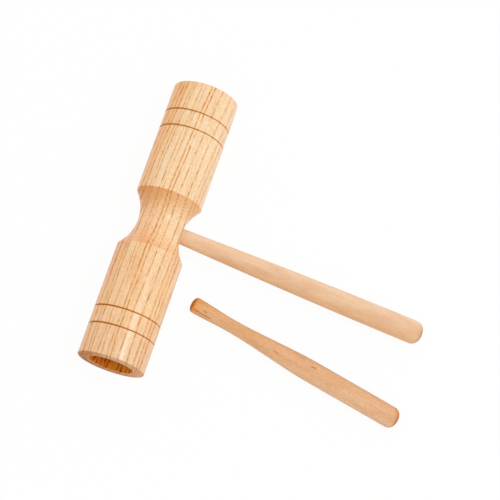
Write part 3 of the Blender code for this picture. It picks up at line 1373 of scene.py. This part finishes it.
@dataclass(frozen=True)
class Studio:
    """A plain white floor, an even pale surround, one large soft lamp and the camera."""

    surround: float = 0.885
    surround_slope: float = 0.2
    surround_colour: Colour = (1.0, 0.96, 0.91)
    white: Colour = (1.0, 1.0, 1.0)
    floor_size: float = 6.0
    floor_colour: Colour = (0.95, 0.95, 0.95)
    floor_white: float = 0.95
    lamp_direction: Direction = (0.232, 0.046, 0.97)
    lamp_distance: float = 0.96
    lamp_size: float = 0.22
    lamp_watts: float = 2.0
    lamp_colour: Colour = (0.80, 0.90, 1.0)
    camera_aim: tuple[float, float, float] = (-0.022151, 0.015286, 0.0)
    camera_distance: float = 1.212
    camera_azimuth: float = math.radians(26.331)
    camera_elevation: float = math.radians(71.15)
    camera_roll: float = math.radians(46.325)
    camera_lens: float = 125.75

    def seen(self, sketch: Sketch) -> Socket:
        """1 for rays that show the background: straight from the camera, mirrored or let through.

        Args:
            sketch: The node tree to add to.

        Returns:
            The share.
        """
        rays = sketch.add("LightPath", {}).outputs
        total = rays["Is Camera Ray"]
        for name in ("Is Glossy Ray", "Is Transmission Ray"):
            total = sketch.math("ADD", total, rays[name], clamp=True)
        return total

    def light_surround(self) -> None:
        """Soft light from all round, a little stronger along +Y, which itself shows as white."""
        world = bpy.data.worlds.new("surround")
        sketch = Sketch(world)
        _, along, _ = sketch.split(sketch.add("TexCoord", {}).outputs["Generated"])
        slope = sketch.product(along, self.surround * self.surround_slope)
        strength = sketch.total(slope, self.surround)
        ambient = sketch.nodes["Background"]
        sketch.feed(ambient.inputs["Color"], self.surround_colour)
        sketch.feed(ambient.inputs["Strength"], strength)
        white = sketch.add("Background", {"Color": self.white, "Strength": 1.0})
        feeds = {0: self.seen(sketch), 1: ambient.outputs[0], 2: white.outputs[0]}
        light = sketch.add("MixShader", feeds).outputs[0]
        sketch.feed(sketch.nodes["World Output"].inputs["Surface"], light)
        bpy.context.scene.world = world

    def lay_floor(self) -> Piece:
        """A white floor that keeps a soft shadow.

        Returns:
            The floor.
        """
        across = np.array([-self.floor_size / 2, self.floor_size / 2])
        x, y = np.meshgrid(across, across)
        corners = np.column_stack([x.ravel(), y.ravel(), np.zeros(x.size)])
        mesh = bpy.data.meshes.new("floor")
        mesh.from_pydata(corners.tolist(), [], [(0, 1, 3, 2)])
        sketch = Sketch(bpy.data.materials.new("white_floor"))
        matt = sketch.add("BsdfDiffuse", {"Color": self.floor_colour})
        white = sketch.add("Emission", {"Color": self.white, "Strength": 1.0})
        share = sketch.product(self.seen(sketch), self.floor_white)
        feeds = {0: share, 1: matt.outputs[0], 2: white.outputs[0]}
        surface = sketch.add("MixShader", feeds).outputs[0]
        sketch.feed(sketch.nodes["Material Output"].inputs["Surface"], surface)
        mesh.materials.append(sketch.owner)
        floor = bpy.data.objects.new("floor", mesh)
        bpy.context.scene.collection.objects.link(floor)
        return floor

    def hang_lamp(self) -> Piece:
        """The soft lamp, above and to one side, aimed at the set's middle.

        Returns:
            The lamp.
        """
        light = bpy.data.lights.new("soft_lamp", "AREA")
        light.shape = "DISK"
        light.size = self.lamp_size
        light.energy = self.lamp_watts
        light.color = self.lamp_colour
        lamp = bpy.data.objects.new("soft_lamp", light)
        towards = Vector(self.lamp_direction).normalized()
        lamp.location = towards * self.lamp_distance
        lamp.rotation_euler = towards.to_track_quat("Z", "Y").to_euler()
        bpy.context.scene.collection.objects.link(lamp)
        return lamp

    def set_camera(self) -> Piece:
        """The camera, looking down on the set and turned about its line of sight.

        Returns:
            The camera.
        """
        level = math.cos(self.camera_elevation)
        back = Vector(
            (
                -level * math.sin(self.camera_azimuth),
                -level * math.cos(self.camera_azimuth),
                math.sin(self.camera_elevation),
            )
        )
        right = Vector((0, 0, 1)).cross(back).normalized()
        turned = Matrix.Rotation(self.camera_roll, 3, back) @ right
        axes = Matrix((turned, back.cross(turned), back)).transposed()
        data = bpy.data.cameras.new("camera")
        data.lens = self.camera_lens
        camera = bpy.data.objects.new("camera", data)
        place = Vector(self.camera_aim) + back * self.camera_distance
        camera.matrix_world = Matrix.Translation(place) @ axes.to_4x4()
        bpy.context.scene.collection.objects.link(camera)
        bpy.context.scene.camera = camera
        return camera

    def build(self) -> None:
        """Set up the light, the floor and the camera."""
        self.light_surround()
        self.lay_floor()
        self.hang_lamp()
        self.set_camera()
        bpy.context.scene.view_settings.view_transform = "Standard"


def main() -> None:
    """Build the pieces in order, then the studio, and report each piece."""
    logging.basicConfig(level=logging.INFO, format="%(name)s: %(message)s")
    block = TurnedBlock()
    handle = HandleStick(block)
    beater = BeaterStick(block)
    for piece in (block.build(handle.socket()), handle.build(), beater.build()):
        LOG.info("%s: %d faces", piece.name, len(piece.data.polygons))
    Studio().build()


if __name__ == "__main__":
    main()
